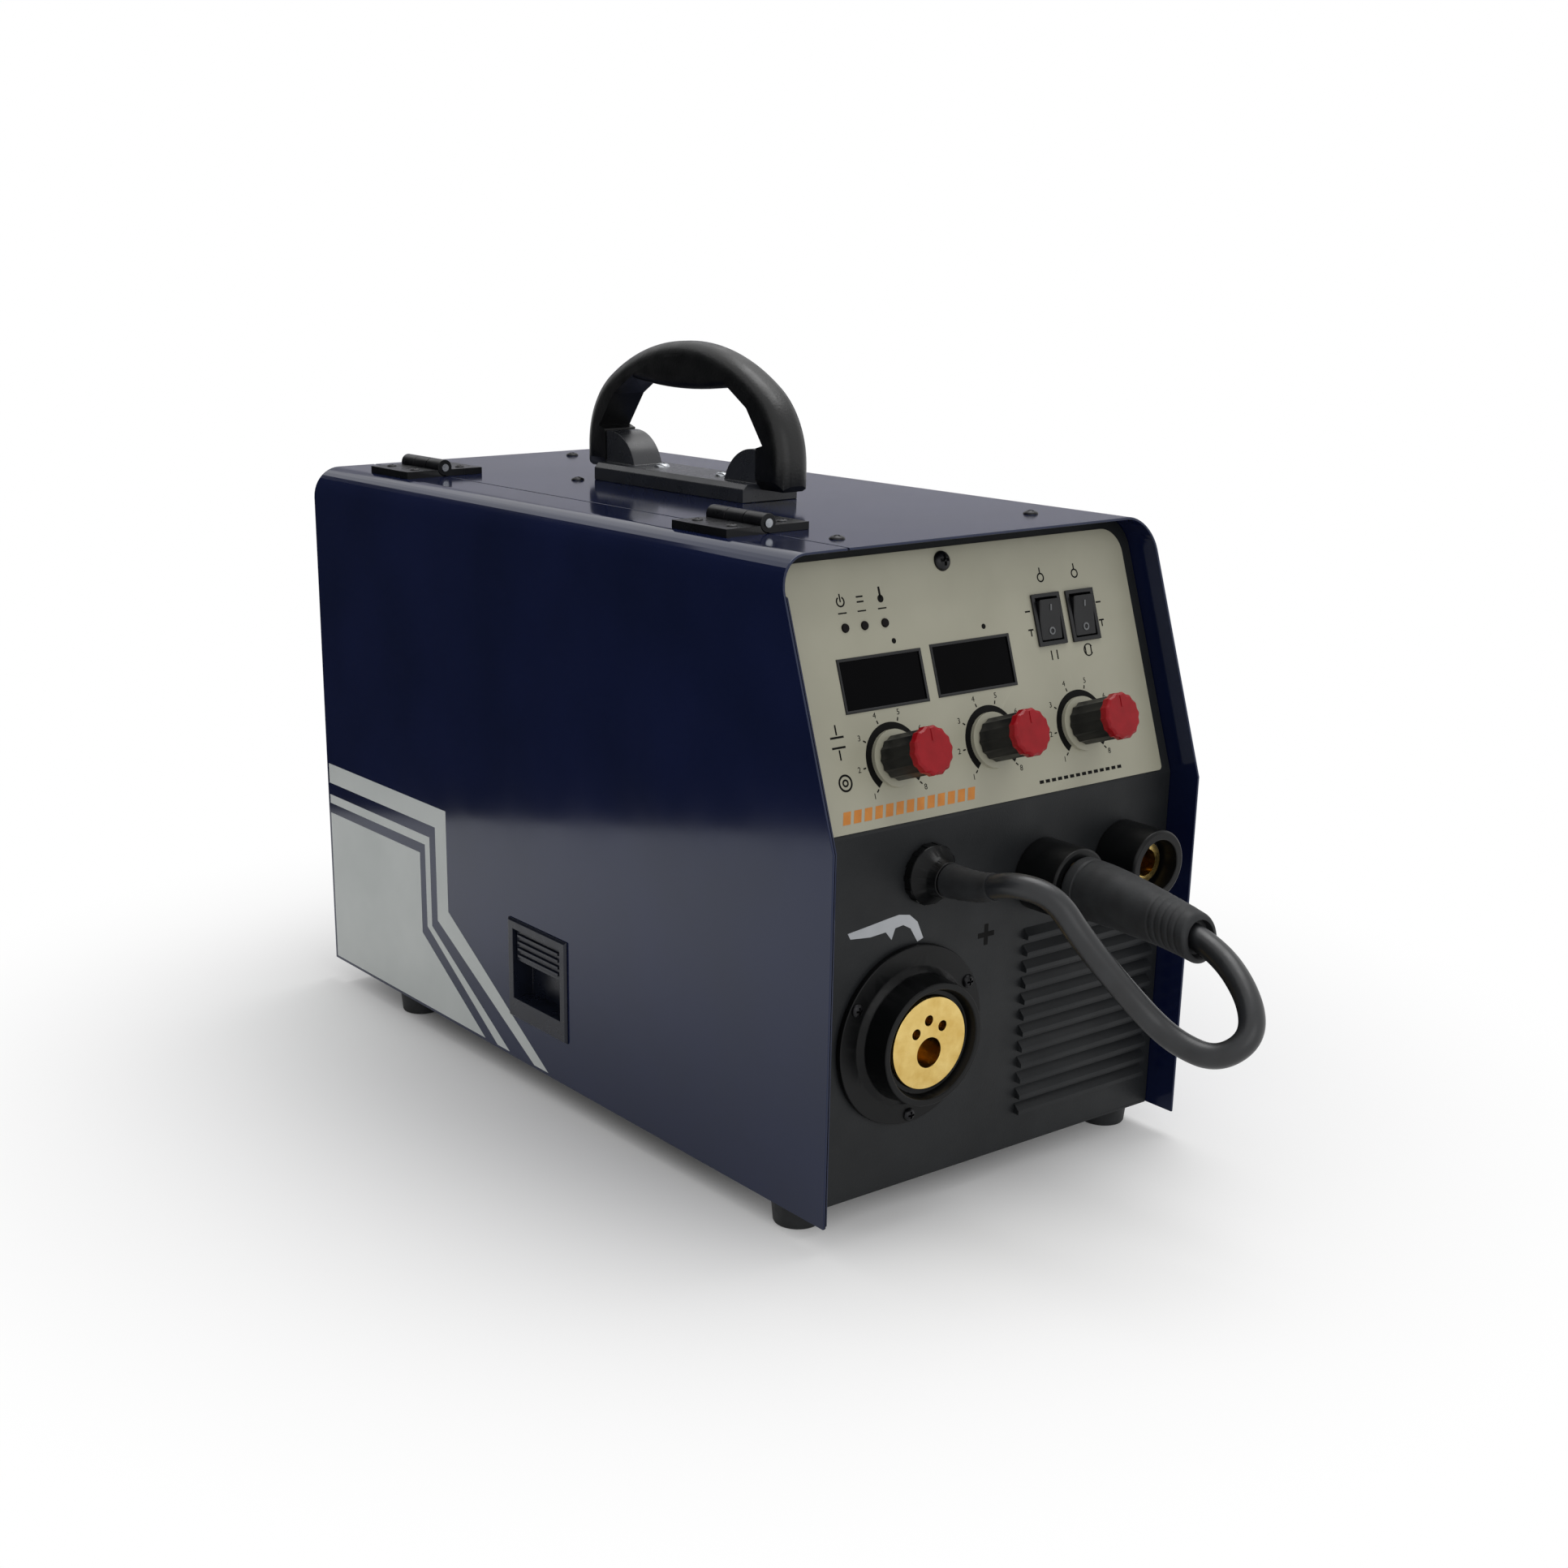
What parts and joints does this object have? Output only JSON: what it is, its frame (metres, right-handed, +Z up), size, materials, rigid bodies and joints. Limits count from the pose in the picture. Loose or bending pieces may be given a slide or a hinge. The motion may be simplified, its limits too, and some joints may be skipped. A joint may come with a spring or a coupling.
{
  "type": "portable wire welding machine",
  "caption": "Portable box-shaped wire welder with a sloped control fascia, carry handle, hinged side door over its wire feeder, torch and output sockets, and a short polarity lead",
  "frame": {"origin": "middle of the machine's bounding box without its lead, on the surface under the feet", "axes": "X to the right seen from the front, Y from the front to the rear, Z up"},
  "size_m": [0.2266, 0.5904, 0.3735],
  "materials": {
    "navy_paint": "semi-gloss powder coat, very dark blue",
    "black_paint": "fine satin powder coat, near black",
    "cream_plate": "satin cream-grey overlay",
    "black_rubber": "matte",
    "handle_plastic": "fine-grained moulding",
    "black_plastic": "satin moulding",
    "red_plastic": "gloss",
    "display_plastic": "dark window",
    "lamp_plastic": "translucent",
    "brass": "machined",
    "zinc_steel": "zinc plated",
    "circuit_board": "solder mask",
    "aluminium": "extruded",
    "cast_alloy": "die cast",
    "ferrite": "dark ferrite and tape"
  },
  "bodies": {
    "case": {"base_pan": "black_paint", "control_board": "circuit_board", "control_fascia": "cream_plate", "display_windows": "display_plastic", "divider_wall": "zinc_steel", "drive_motor": "zinc_steel", "fan_frame": "black_plastic", "feeder_pins": "zinc_steel", "feeder_plate": "cast_alloy", "front_panel": "black_paint", "gas_inlet": "brass", "handle_base": "handle_plastic", "heatsink": "aluminium", "hinge_fixed_leaves": "black_paint", "hinge_pins": "zinc_steel", "indicator_leds": "lamp_plastic", "inverter_board": "circuit_board", "main_transformer": "ferrite", "output_choke": "ferrite", "output_sockets": "black_plastic", "polarity_cable": "black_rubber", "polarity_gland": "black_plastic", "polarity_plug": "black_rubber", "potentiometers": "zinc_steel", "power_cord_gland": "black_plastic", "rear_panel": "black_paint", "rubber_feet": "black_rubber", "socket_brasses": "brass", "spool_axle": "zinc_steel", "switch_frames": "black_plastic", "top_cover": "navy_paint", "torch_brass": "brass", "torch_connector": "black_plastic", "wire_guides": "brass"},
    "door": {"side_door": "navy_paint", "hinge_door_leaves": "black_paint", "latch_housing": "black_plastic"},
    "latch": {"latch_slide": "black_plastic"},
    "handle": {"carry_handle": "handle_plastic"},
    "knob_left_body": {"knob_left": "black_plastic", "knob_cap_left": "red_plastic"},
    "knob_middle_body": {"knob_middle": "black_plastic", "knob_cap_middle": "red_plastic"},
    "knob_right_body": {"knob_right": "black_plastic", "knob_cap_right": "red_plastic"},
    "rocker_left_body": {"rocker_left": "black_plastic"},
    "rocker_right_body": {"rocker_right": "black_plastic"},
    "mains_rocker": {"power_switch": "black_plastic"},
    "feed_roll": {"drive_roll": "zinc_steel", "drive_shaft": "zinc_steel"},
    "arm": {"pressure_arm": "cast_alloy"},
    "idle_roll": {"pressure_roll": "zinc_steel"},
    "lever": {"tension_lever": "zinc_steel", "tension_spring": "zinc_steel"},
    "lever_knob": {"tension_knob": "black_plastic"},
    "hub": {"spool_hub": "black_plastic"},
    "nut": {"hub_nut": "black_plastic"},
    "fan": {"fan_rotor": "black_plastic"}
  },
  "joints": [
    {"name": "door_hinge", "type": "hinge", "parent": "case", "child": "door", "pos_m": [-0.0727, 0.02475, 0.3046], "axis": [0, 1, 0], "range_deg": [0, 105]},
    {"name": "latch_slide_travel", "type": "slide", "parent": "door", "child": "latch", "axis": [0, 0, -1], "range_m": [0, 0.0065]},
    {"name": "handle_fold", "type": "hinge", "parent": "case", "child": "handle", "pos_m": [0.0008, 0.02, 0.315], "axis": [0, 1, 0], "range_deg": [-75, 75]},
    {"name": "tension_lever_swing", "type": "hinge", "parent": "case", "child": "lever", "pos_m": [-0.0512, -0.151, 0.092], "axis": [1, 0, 0], "range_deg": [-50, 0]},
    {"name": "tension_knob_turn", "type": "hinge", "parent": "lever", "child": "lever_knob", "pos_m": [-0.0512, -0.18547, 0.12093], "axis": [0, -0.766, 0.6428], "continuous": true},
    {"name": "pressure_arm_lift", "type": "hinge", "parent": "case", "child": "arm", "pos_m": [-0.0512, -0.095, 0.1], "axis": [-1, 0, 0], "range_deg": [0, 40]},
    {"name": "pressure_roll_spin", "type": "hinge", "parent": "arm", "child": "idle_roll", "pos_m": [-0.0512, -0.123, 0.0918], "axis": [1, 0, 0], "continuous": true},
    {"name": "drive_roll_spin", "type": "hinge", "parent": "case", "child": "feed_roll", "pos_m": [-0.0512, -0.123, 0.0655], "axis": [1, 0, 0], "continuous": true},
    {"name": "spool_hub_spin", "type": "hinge", "parent": "case", "child": "hub", "pos_m": [-0.0592, 0.089, 0.162], "axis": [1, 0, 0], "continuous": true},
    {"name": "hub_nut_turn", "type": "hinge", "parent": "case", "child": "nut", "pos_m": [-0.0892, 0.089, 0.162], "axis": [1, 0, 0], "continuous": true},
    {"name": "fan_spin", "type": "hinge", "parent": "case", "child": "fan", "pos_m": [0.0593, 0.195, 0.08], "axis": [0, 1, 0], "continuous": true},
    {"name": "mains_rocker_tilt", "type": "hinge", "parent": "case", "child": "mains_rocker", "pos_m": [0.0588, 0.211, 0.25], "axis": [-1, 0, 0], "range_deg": [-20, 0]},
    {"name": "knob_left_turn", "type": "hinge", "parent": "case", "child": "knob_left_body", "pos_m": [-0.0572, -0.21559, 0.21427], "axis": [0, -0.9456, 0.3253], "range_deg": [-135, 135]},
    {"name": "knob_middle_turn", "type": "hinge", "parent": "case", "child": "knob_middle_body", "pos_m": [0.0008, -0.21559, 0.21427], "axis": [0, -0.9456, 0.3253], "range_deg": [-135, 135]},
    {"name": "knob_right_turn", "type": "hinge", "parent": "case", "child": "knob_right_body", "pos_m": [0.0578, -0.21559, 0.21427], "axis": [0, -0.9456, 0.3253], "range_deg": [-135, 135]},
    {"name": "rocker_left_tilt", "type": "hinge", "parent": "case", "child": "rocker_left_body", "pos_m": [0.0488, -0.18807, 0.25736], "axis": [1, 0, 0], "range_deg": [-18, 0]},
    {"name": "rocker_right_tilt", "type": "hinge", "parent": "case", "child": "rocker_right_body", "pos_m": [0.0708, -0.18813, 0.25717], "axis": [1, 0, 0], "range_deg": [-18, 0]}
  ]
}
